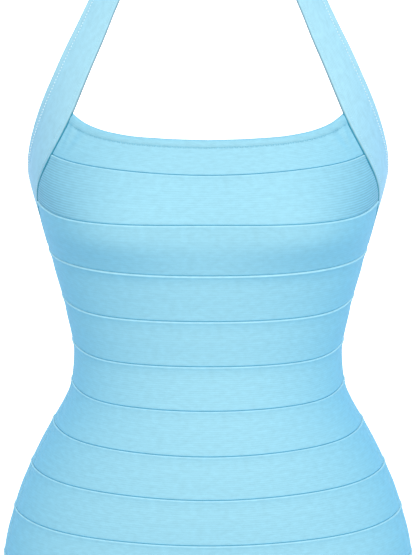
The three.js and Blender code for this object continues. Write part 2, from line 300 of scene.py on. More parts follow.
@dataclass(frozen=True)
class StrapRoute:
    """The strap's way from under the left arm to the back of the neck."""

    rows: tuple[StrapRow, ...] = (
        StrapRow(-16.0, -0.2810, -16.0, -0.2562),
        StrapRow(-5.0, -0.2782, -11.8, -0.2528),
        StrapRow(5.2, -0.2754, -7.8, -0.2465),
        StrapRow(7.4, -0.2688, -4.4, -0.2395),
        StrapRow(9.6, -0.2590, -0.8, -0.2290),
        StrapRow(13.7, -0.2420, 3.5, -0.2160),
        StrapRow(18.5, -0.2235, 8.2, -0.2020),
        StrapRow(23.6, -0.2040, 11.3, -0.1870),
        StrapRow(28.3, -0.1830, 14.8, -0.1690),
        StrapRow(32.0, -0.1600, 18.1, -0.1480),
        StrapRow(34.0, -0.1340, 21.1, -0.1230),
        StrapRow(35.1, -0.1070, 22.9, -0.0970),
        StrapRow(36.0, -0.0800, 24.0, -0.0700),
        StrapRow(37.0, -0.0560, 22.7, -0.0480),
        StrapRow(35.0, -0.0340, 18.0, -0.0330),
        StrapRow(26.0, -0.0130, 8.0, -0.0240),
        StrapRow(8.0, 0.0020, -7.0, -0.0185),
        StrapRow(-17.0, 0.0090, -25.0, -0.0150),
        StrapRow(-42.0, 0.0115, -45.0, -0.0130),
        StrapRow(-66.0, 0.0123, -67.0, -0.0123),
        StrapRow(-90.0, 0.0125, -90.0, -0.0125),
    )
    first_on_front: float = 2.0
    last_on_front: float = 11.0
    seam_gap: float = 0.0003

    @property
    def last(self) -> float:
        """The place of the last row."""
        return float(len(self.rows) - 1)

    def column(self, name: str, place: Array) -> Array:
        """One measure of the strap at each place along it."""
        return along_rows(range(len(self.rows)), [getattr(row, name) for row in self.rows], place)

    def at(self, place: Array, across: Array, plan: SeamPlan) -> tuple[Array, Array]:
        """Turn and height of points of the strap.

        Args:
            place: Places along it, counted in rows.
            across: Shares from the front edge to the armhole edge.
            plan: The seams, which the strap's lower end stays above.

        Returns:
            The turns and the heights.
        """
        turn = blend(self.column("inner_turn", place), self.column("outer_turn", place), across)
        height = blend(self.column("inner_height", place), self.column("outer_height", place), across)
        return turn, np.maximum(height, plan.seam(FIRST_BACK_BAND - 1, turn) + self.seam_gap)

    def edge_turn(self, height: Array, plan: SeamPlan) -> Array:
        """The turn of the strap's front edge at each height, where it lies on the front."""
        place = np.linspace(self.first_on_front, self.last_on_front, 600)
        turn, level = self.at(place, np.zeros_like(place), plan)
        return np.interp(height, level, turn)


class Mesher:
    """Makes closed walls and joined threads into Blender objects with cloth coordinates."""

    @staticmethod
    def sheet_object(name: str, points: Array, cloth: Array, faces: Array) -> bpy.types.Object:
        """Make an object from points and four-sided faces.

        Args:
            name: The piece's name.
            points: One row of x, y and z for each point.
            cloth: Each point's place on the cloth in metres, for the knit and the stitches.
            faces: One row of four point numbers for each face.

        Returns:
            The object, linked to the scene and smoothly shaded.
        """
        mesh = bpy.data.meshes.new(name)
        mesh.from_pydata(points.tolist(), [], faces.tolist())
        layer = mesh.uv_layers.new(name="cloth")
        layer.data.foreach_set("uv", cloth[faces.ravel()].astype(np.float32).ravel())
        mesh.polygons.foreach_set("use_smooth", np.ones(len(faces), bool))
        mesh.update()
        piece = bpy.data.objects.new(name, mesh)
        bpy.context.scene.collection.objects.link(piece)
        return piece

    @staticmethod
    def strip_faces(rows: int, columns: int, offset: int = 0) -> Array:
        """Faces of a grid whose points run along each row in turn."""
        row, column = np.meshgrid(np.arange(rows - 1), np.arange(columns - 1), indexing="ij")
        first = offset + row * columns + column
        return np.stack([first, first + columns, first + columns + 1, first + 1], axis=-1).reshape(-1, 4)

    @classmethod
    def wall(cls, name: str, outer: Array, inner: Array, cloth: Array) -> bpy.types.Object:
        """Close a wall between an outer and an inner grid of the same size.

        Args:
            name: The piece's name.
            outer: Points of the outer face, by row and column.
            inner: Points of the inner face.
            cloth: Each grid point's place on the cloth, the same for both faces.

        Returns:
            The wall as one object, with its faces pointing out.
        """
        rows, columns = outer.shape[:2]
        count = rows * columns
        points = np.concatenate([outer.reshape(-1, 3), inner.reshape(-1, 3)])
        grid = cls.strip_faces(rows, columns)
        loop = np.concatenate([
            np.arange(columns),
            np.arange(2, rows + 1) * columns - 1,
            (rows - 1) * columns + np.arange(columns - 2, -1, -1),
            np.arange(rows - 2, -1, -1) * columns,
        ])
        rim = np.stack([loop[:-1], loop[1:], loop[1:] + count, loop[:-1] + count], axis=-1)
        faces = np.concatenate([grid, grid[:, ::-1] + count, rim])
        corner = outer[:-1, :-1]
        normal = np.cross(outer[1:, :-1] - corner, outer[:-1, 1:] - corner)
        if (normal * (corner - inner[:-1, :-1])).sum() < 0:
            faces = faces[:, ::-1]
        flat = cloth.reshape(-1, 2)
        return cls.sheet_object(name, points, np.concatenate([flat, flat]), faces)

    @classmethod
    def threads(cls, name: str, runs: Sequence["Run"], radius: float, sides: int = 6) -> bpy.types.Object:
        """Join threads into one object.

        Args:
            name: The piece's name.
            runs: The threads, in sets of the same number of steps.
            radius: The thread's radius in metres.
            sides: Sides of its section, an even number.

        Returns:
            One object with every thread in it, each closed at both ends.
        """
        points, cloth, faces, start = [], [], [], 0
        angle = np.linspace(0, 2 * math.pi, sides, endpoint=False)
        for run in runs:
            count, steps = run.path.shape[:2]
            forward = np.gradient(run.path, axis=1)
            forward /= np.linalg.norm(forward, axis=-1, keepdims=True)
            across = np.cross(forward, run.up)
            across /= np.linalg.norm(across, axis=-1, keepdims=True)
            over = np.cross(across, forward)
            ends = np.minimum(np.arange(steps), np.arange(steps)[::-1])
            swell = np.where(ends == 0, 0.45, 1.0) * radius
            ring = np.cos(angle)[:, None] * across[:, :, None] + np.sin(angle)[:, None] * over[:, :, None]
            points.append((run.path[:, :, None] + ring * swell[None, :, None, None]).reshape(-1, 3))
            single = np.concatenate([cls.tube_faces(steps, sides), cls.cap_faces(steps, sides)])
            shift = start + np.arange(count) * steps * sides
            faces.append((single[None] + shift[:, None, None]).reshape(-1, 4))
            step = np.linalg.norm(np.diff(run.path, axis=1), axis=-1).mean()
            u = np.repeat(np.tile(np.arange(steps) * step, count), sides)
            cloth.append(np.stack([u, np.tile(angle * radius, count * steps)], axis=-1))
            start += count * steps * sides
        return cls.sheet_object(name, np.concatenate(points), np.concatenate(cloth), np.concatenate(faces))

    @staticmethod
    def tube_faces(steps: int, sides: int) -> Array:
        """Faces round a tube whose points are listed ring by ring."""
        step, side = np.meshgrid(np.arange(steps - 1), np.arange(sides), indexing="ij")
        near, far = step * sides, (step + 1) * sides
        nearby = (side + 1) % sides
        return np.stack([near + side, far + side, far + nearby, near + nearby], axis=-1).reshape(-1, 4)

    @staticmethod
    def cap_faces(steps: int, sides: int) -> Array:
        """Faces that close both ends of a tube."""
        low = np.arange(sides // 2 - 1)
        cap = np.stack([low, low + 1, sides - 2 - low, sides - 1 - low], axis=-1)
        return np.concatenate([cap, cap[:, ::-1] + (steps - 1) * sides])


@dataclass(frozen=True)
class Run:
    """Threads of the same number of steps: their points and the directions out of the cloth."""

    path: Array
    up: Array


@dataclass(frozen=True)
class Profile:
    """The height of a cloth's outer face above the figure, by the distance from an edge, in metres."""

    distance: tuple[float, ...]
    lift: tuple[float, ...]

    def at(self, distance: Array) -> Array:
        """The lift at each distance from the edge."""
        return along_rows(self.distance, self.lift, distance)


@dataclass(frozen=True)
class Crease:
    """One soft fold laid in the cloth beside the strap, mirrored on the other side."""

    turn: float
    height: float
    lean: float
    length: float
    width: float
    rise: float

    def at(self, turn: Array, height: Array, radius: float = 0.14) -> Array:
        """How much the fold lifts or sinks the cloth at each point.

        Args:
            turn: Degrees round the figure.
            height: Heights in metres.
            radius: What turns degrees into distances there.

        Returns:
            The change of the lift in metres.
        """
        mirrored = np.where(turn > 90, 180 - turn, turn)
        side = np.radians(mirrored - self.turn) * radius
        up = height - self.height
        lean = math.radians(self.lean)
        along = side * math.cos(lean) + up * math.sin(lean)
        across = up * math.cos(lean) - side * math.sin(lean)
        return self.rise * np.exp(-((along / self.length) ** 2) - (across / self.width) ** 2)


@dataclass(frozen=True)
class FlatCut:
    """The flat size of a cut piece before it is stretched on the figure."""

    width: float
    length: float
    area: float


@dataclass
class Patch:
    """A cloth laid on the figure: a grid of places with the wall's two faces above them."""

    figure: Figure
    turn: Array
    height: Array
    outer_lift: Array
    inner_lift: Array
    cloth: Array

    def outer(self) -> Array:
        """Points of the outer face."""
        return self.figure.raised(self.turn, self.height, self.outer_lift)

    def inner(self) -> Array:
        """Points of the inner face."""
        return self.figure.raised(self.turn, self.height, self.inner_lift)

    def cut(self, stretch: float) -> FlatCut:
        """The flat cut of this cloth.

        Args:
            stretch: How much longer the cloth is on the figure than flat, along its rows.

        Returns:
            Its width along the rows, its length across them and its area.
        """
        middle = self.figure.raised(self.turn, self.height, (self.outer_lift + self.inner_lift) / 2)
        along = np.linalg.norm(np.diff(middle, axis=1), axis=-1)
        across = np.linalg.norm(np.diff(middle, axis=0), axis=-1)
        sides = np.cross(middle[1:, :-1] - middle[:-1, :-1], middle[:-1, 1:] - middle[:-1, :-1])
        width = along.sum(axis=1).max() / stretch
        length = across.sum(axis=0).max()
        area = np.linalg.norm(sides, axis=-1).sum() / stretch
        return FlatCut(float(width), float(length), float(min(area, width * length)))

    def build(self, name: str) -> bpy.types.Object:
        """Make the wall."""
        return Mesher.wall(name, self.outer(), self.inner(), self.cloth)


@dataclass(frozen=True)
class Wear:
    """How the dress sits: the same for all its cloths."""

    stretch: float = 1.15
    side_gap: float = 0.00015
    strap_gap: float = 0.0007
    seam_gap: float = 0.00010


FIGURE = Figure()
PLAN = SeamPlan()
ROUTE = StrapRoute()
WEAR = Wear()


@dataclass
class Band:
    """One knit band of the front or the back, cut between two seams."""

    panel: Panel
    number: int
    columns: int = 130
    middle_rows: int = 8
    end_steps: tuple[float, ...] = (0.0, 0.00015, 0.0004, 0.0008, 0.0014, 0.0026)
    edge_steps: tuple[float, ...] = (0.0, 0.00012, 0.0003, 0.0006, 0.0010, 0.0015, 0.0021, 0.0030)
    hem_steps: tuple[float, ...] = (
        0.0, 0.0002, 0.0005, 0.0010, 0.0018, 0.0030, 0.0044, 0.0056, 0.0067, 0.0078, 0.0089, 0.0100, 0.0112, 0.0128,
    )
    upper_edge: Profile = Profile(
        (0.0, 0.00015, 0.00035, 0.0007, 0.0011, 0.0016, 0.0024, 0.0040, 0.0195),
        (0.00125, 0.00195, 0.00240, 0.00268, 0.00270, 0.00256, 0.00228, 0.00210, 0.00225),
    )
    lower_edge: Profile = Profile(
        (0.0, 0.00015, 0.00035, 0.0007, 0.0011, 0.0016, 0.0024, 0.0040, 0.0195),
        (0.00110, 0.00145, 0.00172, 0.00192, 0.00200, 0.00204, 0.00207, 0.00210, 0.00225),
    )
    neck_hem: Profile = Profile(
        (0.0, 0.0003, 0.0009, 0.0018, 0.0030, 0.0048, 0.0064, 0.0078, 0.0090, 0.0102, 0.0116, 0.0140, 0.0195),
        (0.0010, 0.0017, 0.0023, 0.0027, 0.0029, 0.0030, 0.0029, 0.0027, 0.0024, 0.0022, 0.00215, 0.0022, 0.00225),
    )
    bottom_hem: Profile = Profile(
        (0.0, 0.0002, 0.0005, 0.0010, 0.0020, 0.0050, 0.0210, 0.0230, 0.0236, 0.0241, 0.0248, 0.0300),
        (0.0010, 0.0015, 0.0020, 0.0025, 0.0027, 0.0027, 0.0027, 0.0026, 0.0024, 0.0021, 0.00205, 0.00215),
    )
    creases: tuple[Crease, ...] = (
        Crease(33.6, -0.1690, 72.0, 0.0110, 0.0020, 0.0008),
        Crease(32.2, -0.1745, 70.0, 0.0120, 0.0018, -0.0007),
        Crease(35.6, -0.1735, 60.0, 0.0100, 0.0022, -0.0006),
        Crease(37.6, -0.1780, 48.0, 0.0110, 0.0026, 0.0004),
    )

    @property
    def node(self) -> str:
        """The CAD node that this band stands for."""
        return f"{self.panel.value}_band_{self.number:02d}"

    @property
    def is_top(self) -> bool:
        """Whether the neck hem is on this band."""
        return self.number == 1

    @property
    def is_full(self) -> bool:
        """Whether it is the front band over the fullest part, whose finish has more painted shade in its rib valleys
        towards the sides.
        """
        return self.panel is Panel.FRONT and self.number == 2

    @property
    def is_bottom(self) -> bool:
        """Whether the bottom hem is on this band."""
        return self.number == SEAM_COUNT

    def upper(self, turn: Array) -> Array:
        """The height of its upper edge at each turn."""
        return PLAN.neckline(turn) if self.is_top else PLAN.seam(self.number - 1, turn)

    def lower(self, turn: Array) -> Array:
        """The height of its lower edge at each turn."""
        return PLAN.seam(self.number, turn)

    def start(self, height: Array) -> Array:
        """The turn where it begins, at each height."""
        width = FIGURE.column("half_width", height)
        if self.panel is Panel.BACK:
            return 180.0 - SIDE_SEAM_TURN + np.degrees(WEAR.side_gap / width)
        if self.number < FIRST_BACK_BAND:
            return ROUTE.edge_turn(height, PLAN) + np.degrees(WEAR.strap_gap / width)
        return SIDE_SEAM_TURN + np.degrees(WEAR.side_gap / width)

    def end(self, height: Array) -> Array:
        """The turn where it ends, at each height."""
        start = self.start(height)
        return 540.0 - start if self.panel is Panel.BACK else 180.0 - start

    def depths(self) -> Array:
        """Distances of its rows from the upper edge."""
        top = self.hem_steps if self.is_top else self.edge_steps
        bottom = np.asarray(self.edge_steps)
        if self.is_bottom:
            bottom = np.array(self.bottom_hem.distance[:-1])
        low = BAND_DEPTH - bottom[-1]
        middle = np.linspace(top[-1], low, self.middle_rows + 1)[1:-1]
        return np.concatenate([top, middle, BAND_DEPTH - bottom[::-1]])

    def lift(self, depth: Array, along: Array, turn: Array, height: Array) -> Array:
        """Heights of the outer face above the figure.

        Args:
            depth: Distances from the upper edge.
            along: Distances from the nearer end.
            turn: Degrees round the figure.
            height: Heights of the points.

        Returns:
            The lifts in metres.
        """
        top = self.neck_hem if self.is_top else self.upper_edge
        bottom = self.bottom_hem if self.is_bottom else self.lower_edge
        split = BAND_DEPTH - bottom.distance[-1]
        lift = np.where(depth < split, top.at(depth), bottom.at(BAND_DEPTH - depth))
        lift = lift - 0.0012 * np.exp(-((along / 0.0007) ** 1.5))
        if self.is_top:
            lift = lift + sum(crease.at(turn, height) for crease in self.creases)
        return lift

    def patch(self) -> Patch:
        """Lay the band on the figure."""
        depth = self.depths()
        span = 0.45
        along = spaced(span, self.end_steps, self.columns)
        share, down = np.meshgrid(along / span, depth / BAND_DEPTH)
        turn = np.full_like(share, 90.0 if self.panel is Panel.FRONT else 270.0)
        height = self.upper(turn)
        for _ in range(8):
            height = blend(self.upper(turn) - WEAR.seam_gap, self.lower(turn) + WEAR.seam_gap, down)
            turn = blend(self.start(height), self.end(height), share)
        near_end = np.minimum(along, span - along)[None, :] + np.zeros_like(down)
        outer = self.lift(depth[:, None] + np.zeros_like(share), near_end, turn, height)
        edge = np.minimum(depth, BAND_DEPTH - depth)[:, None]
        inner = 0.0004 * np.exp(-edge / 0.0004) + np.zeros_like(share)
        ground = FIGURE.skin(turn[len(depth) // 2], height[len(depth) // 2])
        walked = np.concatenate([[0.0], np.cumsum(np.linalg.norm(np.diff(ground, axis=0), axis=1))])
        cloth = np.stack([walked[None, :] + np.zeros_like(share), depth[:, None] + np.zeros_like(share)], axis=-1)
        return Patch(FIGURE, turn, height, outer, inner, cloth)

    def edge_line(self, depth: float, count: int = 900, margin: float = 0.004) -> tuple[Array, Array]:
        """Turns and heights of a line at one depth below the upper edge."""
        share = np.linspace(margin, 1.0 - margin, count)
        turn = np.full_like(share, 90.0 if self.panel is Panel.FRONT else 270.0)
        height = self.upper(turn)
        for _ in range(8):
            height = blend(self.upper(turn), self.lower(turn), depth / BAND_DEPTH)
            turn = blend(self.start(height), self.end(height), share)
        return turn, height


@dataclass
class BackTop:
    """The deep edge band across the back, from the end of the strap on one side to the other."""

    node: str = "back_top_band"
    depth: float = 0.026
    columns: int = 130
    middle_rows: int = 7
    end_steps: tuple[float, ...] = (0.0, 0.00015, 0.0004, 0.0008, 0.0014, 0.0026)
    edge_steps: tuple[float, ...] = (0.0, 0.0002, 0.0005, 0.0010, 0.0016, 0.0022, 0.0030, 0.0046)
    upper_edge: Profile = Profile(
        (0.0, 0.0002, 0.0006, 0.0012, 0.0020, 0.0028, 0.0042, 0.0130),
        (0.0010, 0.0016, 0.0022, 0.0025, 0.0026, 0.0024, 0.0022, 0.0023),
    )
    lower_edge: Profile = Profile(
        (0.0, 0.0002, 0.0005, 0.0010, 0.0018, 0.0030, 0.0130),
        (0.0011, 0.0014, 0.0018, 0.0020, 0.0021, 0.0022, 0.0023),
    )

    def patch(self) -> Patch:
        """Lay the band on the figure."""
        depth = spaced(self.depth, self.edge_steps, self.middle_rows)
        span = 0.40
        along = spaced(span, self.end_steps, self.columns)
        share, down = np.meshgrid(along / span, depth / self.depth)
        turn = np.full_like(share, 270.0)
        height = PLAN.back_edge(turn)
        for _ in range(8):
            lower = PLAN.seam(FIRST_BACK_BAND - 1, turn) + WEAR.seam_gap
            height = blend(PLAN.back_edge(turn), lower, down)
            gap = np.degrees(WEAR.side_gap / FIGURE.column("half_width", height))
            start = 180.0 - BACK_SEAM_TURN + gap
            turn = blend(start, 540.0 - start, share)
        rows = depth[:, None] + np.zeros_like(share)
        near_end = np.minimum(along, span - along)[None, :] + np.zeros_like(share)
        outer = np.where(rows < self.depth / 2, self.upper_edge.at(rows), self.lower_edge.at(self.depth - rows))
        outer = outer - 0.0012 * np.exp(-((near_end / 0.0007) ** 1.5))
        inner = 0.0005 * np.exp(-np.minimum(rows, self.depth - rows) / 0.0005)
        ground = FIGURE.skin(turn[len(depth) // 2], height[len(depth) // 2])
        walked = np.concatenate([[0.0], np.cumsum(np.linalg.norm(np.diff(ground, axis=0), axis=1))])
        cloth = np.stack([walked[None, :] + np.zeros_like(share), rows], axis=-1)
        return Patch(FIGURE, turn, height, outer, inner, cloth)

    def edge_line(self, depth: float, count: int = 900) -> tuple[Array, Array]:
        """Turns and heights of a line at one depth below the upper edge."""
        turn = np.linspace(180.0 - BACK_SEAM_TURN + 0.6, 360.0 + BACK_SEAM_TURN - 0.6, count)
        lower = PLAN.seam(FIRST_BACK_BAND - 1, turn)
        return turn, blend(PLAN.back_edge(turn), lower, depth / self.depth)


@dataclass
class HalterStrap:
    """The wide strap, in one piece from one side of the back, round the neck, to the other side."""

    node: str = "halter_strap"
    width: float = 0.027
    columns: int = 420
    middle_rows: int = 7
    end_steps: tuple[float, ...] = (0.0, 0.00015, 0.0004, 0.0008, 0.0014, 0.0026)
    edge_steps: tuple[float, ...] = (0.0, 0.0002, 0.0005, 0.0010, 0.0016, 0.0022, 0.0030, 0.0046)
    front_edge: Profile = Profile(
        (0.0, 0.0002, 0.0005, 0.0010, 0.0016, 0.0022, 0.0030, 0.0046, 0.0135),
        (0.0012, 0.0018, 0.0023, 0.0026, 0.0027, 0.0027, 0.0028, 0.0029, 0.0031),
    )
    armhole_edge: Profile = Profile(
        (0.0, 0.0002, 0.0005, 0.0010, 0.0016, 0.0022, 0.0030, 0.0046, 0.0135),
        (0.0010, 0.0016, 0.0024, 0.0030, 0.0032, 0.0031, 0.0029, 0.0029, 0.0031),
    )
    samples: int = 3000
    thin_end: float = 0.74
    thin_to: float = 3.5
    full_from: float = 6.5

    def middle_line(self) -> tuple[Array, Array]:
        """Places along the whole strap and the distance walked to each, both halves."""
        place = np.linspace(0.0, 2 * ROUTE.last, self.samples)
        turn, height = self.at(place, np.full_like(place, 0.5))
        ground = FIGURE.skin(turn, height)
        walked = np.concatenate([[0.0], np.cumsum(np.linalg.norm(np.diff(ground, axis=0), axis=1))])
        return place, walked

    @staticmethod
    def at(place: Array, across: Array) -> tuple[Array, Array]:
        """Turns and heights, where the second half of the places runs down the right side."""
        right = place > ROUTE.last
        turn, height = ROUTE.at(np.where(right, 2 * ROUTE.last - place, place), across, PLAN)
        return np.where(right, -180.0 - turn, turn), height

    def lift(self, place: Array, across: Array) -> Array:
        """Heights of the outer face above the figure, thinner towards both ends.

        Args:
            place: Places along both halves.
            across: Distances from the front edge.

        Returns:
            The lifts in metres.
        """
        near, far = self.front_edge.at(across), self.armhole_edge.at(self.width - across)
        share = eased(self.thin_to, self.full_from, np.minimum(place, 2 * ROUTE.last - place))
        return np.where(across < self.width / 2, near, far) * blend(self.thin_end, 1.0, share)

    def patch(self) -> Patch:
        """Lay the strap on the figure."""
        place, walked = self.middle_line()
        along = spaced(walked[-1], self.end_steps, self.columns)
        across = spaced(self.width, self.edge_steps, self.middle_rows)
        columns, rows = np.meshgrid(np.interp(along, walked, place), across)
        turn, height = self.at(columns, rows / self.width)
        near_end = np.minimum(along, walked[-1] - along)[None, :] + np.zeros_like(rows)
        outer = self.lift(columns, rows) - 0.0012 * np.exp(-((near_end / 0.0007) ** 1.5))
        inner = 0.0005 * np.exp(-np.minimum(rows, self.width - rows) / 0.0005)
        cloth = np.stack([along[None, :] + np.zeros_like(rows), rows], axis=-1)
        return Patch(FIGURE, turn, height, outer, inner, cloth)

    def edge_line(self, across: float, count: int = 2400) -> tuple[Array, Array, Array]:
        """Turns, heights and lifts of a line at one distance from the front edge."""
        place, walked = self.middle_line()
        place = np.interp(np.linspace(0.004, walked[-1] - 0.004, count), walked, place)
        turn, height = self.at(place, np.full(count, across / self.width))
        return turn, height, self.lift(place, np.full(count, across))

    def front_seams(self, count: int = 90) -> list[tuple[Array, Array]]:
        """The two lines where the front bands meet the strap, from below the neckline down."""
        place = np.linspace(ROUTE.first_on_front, ROUTE.last_on_front, 600)
        turn, height = ROUTE.at(place, np.zeros_like(place), PLAN)
        top = float(PLAN.neckline(np.array(PLAN.neckline_turns[-1])))
        reach = np.linspace(top, float(height.min()) + 0.002, count)
        left = ROUTE.edge_turn(reach, PLAN)
        gap = np.degrees(WEAR.strap_gap / 2 / FIGURE.column("half_width", reach))
        return [(left + gap, reach), (180.0 - left - gap, reach)]


@dataclass(frozen=True)
class StitchRow:
    """A row of sewing stitches and the size of its thread."""

    pitch: float = 0.00274
    length: float = 0.0020
    radius: float = 0.00020
    sway: float = 0.0
    kind: Stitch = Stitch.STRAIGHT
    steps: int = 5

    def along(self, turn: Array, height: Array, lift: float | Array) -> Run:
        """Sew the row along a line on the figure.

        Args:
            turn: Turns of the line's points.
            height: Their heights.
            lift: The cloth's outer face above the figure there.

        Returns:
            The stitches.
        """
        ground = FIGURE.raised(turn, height, lift)
        outward = FIGURE.outward(turn, height)
        reach = np.concatenate([[0.0], np.cumsum(np.linalg.norm(np.diff(ground, axis=0), axis=1))])
        count = max(int((reach[-1] - self.length) // self.pitch), 1)
        first = (reach[-1] - (count - 1) * self.pitch - self.length) / 2
        step = np.linspace(0.0, self.length, self.steps)
        place = first + np.arange(count)[:, None] * self.pitch + step[None, :]
        path = np.stack([np.interp(place, reach, ground[:, i]) for i in range(3)], axis=-1)
        up = np.stack([np.interp(place, reach, outward[:, i]) for i in range(3)], axis=-1)
        forward = np.gradient(path, axis=1)
        forward /= np.linalg.norm(forward, axis=-1, keepdims=True)
        share = np.linspace(-1.0, 1.0, self.steps)[None, :] * np.ones((count, 1))
        if self.kind is Stitch.ZIGZAG:
            share = share * np.where(np.arange(count) % 2 == 0, 1.0, -1.0)[:, None]
        sway = 0.0 * share if self.kind is Stitch.STRAIGHT else share * self.sway
        arch = self.radius * (0.9 - 1.5 * share**4)
        path = path + np.cross(up, forward) * sway[..., None] + up * arch[..., None]
        return Run(path, up)


@dataclass
class Sewing:
    """The rows of stitches and the yarn that joins the bands."""

    strap_row: StitchRow = StitchRow(pitch=0.00274, length=0.0012, radius=0.00040)
    edge_row: StitchRow = StitchRow(pitch=0.0024, length=0.0010, radius=0.00020, sway=0.0004, kind=Stitch.SLANTED)
    hem_row: StitchRow = StitchRow(pitch=0.0021, length=0.0014, radius=0.00028, sway=0.0007, kind=Stitch.ZIGZAG)
    join_radius: float = 0.00034
    join_lift: float = 0.00100
    strap_seam_radius: float = 0.0005
    strap_seam_lifts: tuple[float, ...] = (0.0011, 0.0019)

    def strap(self, strap: HalterStrap) -> list[bpy.types.Object]:
        """Sew the strap's rows.

        Args:
            strap: The strap.

        Returns:
            The row by the armhole, the row by the front edge and the yarn in the seam to the bands.
        """
        inset_armhole, inset_front = 0.0052, 0.0030
        rows = []
        for name, across, row in (
            ("armhole_stitches", strap.width - inset_armhole, self.strap_row),
            ("strap_front_stitches", inset_front, self.edge_row),
        ):
            rows.append(Mesher.threads(name, [row.along(*strap.edge_line(across))], row.radius))
        seams = [
            self.yarn(turn, height, lift)
            for turn, height in strap.front_seams()
            for lift in self.strap_seam_lifts
        ]
        rows.append(Mesher.threads("strap_seam_yarn", seams, self.strap_seam_radius))
        return rows

    def hem(self, name: str, cloth: Band | BackTop, depths: Sequence[float], lift: float) -> bpy.types.Object:
        """Sew rows along a hem.

        Args:
            name: The piece's name.
            cloth: What the hem is on.
            depths: How far below the cloth's upper edge each row runs.
            lift: The hem's outer face above the figure there.

        Returns:
            The rows as one piece.
        """
        runs = [self.hem_row.along(*cloth.edge_line(depth), lift) for depth in depths]
        return Mesher.threads(name, runs, self.hem_row.radius)

    def join(self, band: Band) -> bpy.types.Object:
        """Lay the joining yarn above a band and beside both its ends.

        Args:
            band: The band.

        Returns:
            The yarn as one piece.
        """
        runs = []
        if not band.is_top:
            turn, height = band.edge_line(0.0, 260, 0.0)
            runs.append(self.yarn(turn, height, self.join_lift))
        if band.number >= FIRST_BACK_BAND and band.panel is Panel.FRONT:
            for turn in (SIDE_SEAM_TURN, 180.0 - SIDE_SEAM_TURN):
                turns = np.full(20, turn)
                upper, lower = band.upper(turns)[0], band.lower(turns)[0]
                heights = np.linspace(upper - 0.0008, lower + 0.0008, 20)
                runs.append(self.yarn(turns, heights, self.join_lift))
        return Mesher.threads(f"{band.node}_join", runs, self.join_radius)

    @staticmethod
    def yarn(turn: Array, height: Array, lift: float) -> Run:
        """One length of joining yarn in its groove."""
        path = FIGURE.raised(turn, height, lift)
        return Run(path[None], FIGURE.outward(turn, height)[None])


class Value:
    """A number, colour or vector on its way through a material, written with the usual signs."""

    def __init__(self, graph: "Graph", socket: bpy.types.NodeSocket) -> None:
        """Keep the graph and the socket it comes from."""
        self.graph, self.socket = graph, socket

    def sum(self, operation: str, first: "Value | float", second: "Value | float") -> "Value":
        """Work out one Math node."""
        return self.graph.add("ShaderNodeMath", {"operation": operation}, {0: first, 1: second})

    def __add__(self, other: "Value | float") -> "Value":
        """This plus other."""
        return self.sum("ADD", self, other)

    def __radd__(self, other: float) -> "Value":
        """Other plus this."""
        return self.sum("ADD", other, self)

    def __sub__(self, other: "Value | float") -> "Value":
        """This less other."""
        return self.sum("SUBTRACT", self, other)

    def __rsub__(self, other: float) -> "Value":
        """Other less this."""
        return self.sum("SUBTRACT", other, self)

    def __mul__(self, other: "Value | float") -> "Value":
        """This times other."""
        return self.sum("MULTIPLY", self, other)

    def __rmul__(self, other: float) -> "Value":
        """Other times this."""
        return self.sum("MULTIPLY", other, self)

    def __truediv__(self, other: "Value | float") -> "Value":
        """This over other."""
        return self.sum("DIVIDE", self, other)

    def __rtruediv__(self, other: float) -> "Value":
        """Other over this."""
        return self.sum("DIVIDE", other, self)

    def __pow__(self, other: "Value | float") -> "Value":
        """This to the power of other."""
        return self.sum("POWER", self, other)

    def __rpow__(self, other: float) -> "Value":
        """Other to the power of this."""
        return self.sum("POWER", other, self)

    def sine(self) -> "Value":
        """The sine of this angle."""
        return self.sum("SINE", self, 0.0)

    def least(self, other: "Value | float") -> "Value":
        """The smaller of the two."""
        return self.sum("MINIMUM", self, other)

    def most(self, other: "Value | float") -> "Value":
        """The larger of the two."""
        return self.sum("MAXIMUM", self, other)


class Graph:
    """The nodes of one material."""

    def __init__(self, name: str) -> None:
        """Start a material with no nodes in it."""
        self.material = bpy.data.materials.new(name)
        self.material.use_nodes = True
        self.tree = self.material.node_tree
        self.tree.nodes.clear()

    def node(
        self,
        kind: str,
        settings: dict[str, object] | None = None,
        inputs: dict[str | int, object] | None = None,
    ) -> bpy.types.Node:
        """Add a node.

        Args:
            kind: The node's type.
            settings: Its own settings, made first.
            inputs: Numbers, colours or values for its sockets, by name or number.

        Returns:
            The node.
        """
        node = self.tree.nodes.new(kind)
        for name, setting in (settings or {}).items():
            setattr(node, name, setting)
        for name, value in (inputs or {}).items():
            if isinstance(value, Value):
                self.tree.links.new(value.socket, node.inputs[name])
            else:
                node.inputs[name].default_value = value
        return node

    def add(
        self,
        kind: str,
        settings: dict[str, object] | None = None,
        inputs: dict[str | int, object] | None = None,
        output: str | int = 0,
    ) -> Value:
        """Add a node and go on from one of its outputs."""
        return Value(self, self.node(kind, settings, inputs).outputs[output])

    def mix(self, share: Value | float, first: object, second: object) -> Value:
        """Mix two colours."""
        return self.add("ShaderNodeMix", {"data_type": "RGBA"}, {0: share, 6: first, 7: second}, 2)

    def finish(self, shader: Value) -> bpy.types.Material:
        """Send the shader to the surface."""
        self.node("ShaderNodeOutputMaterial", None, {"Surface": shader})
        return self.material


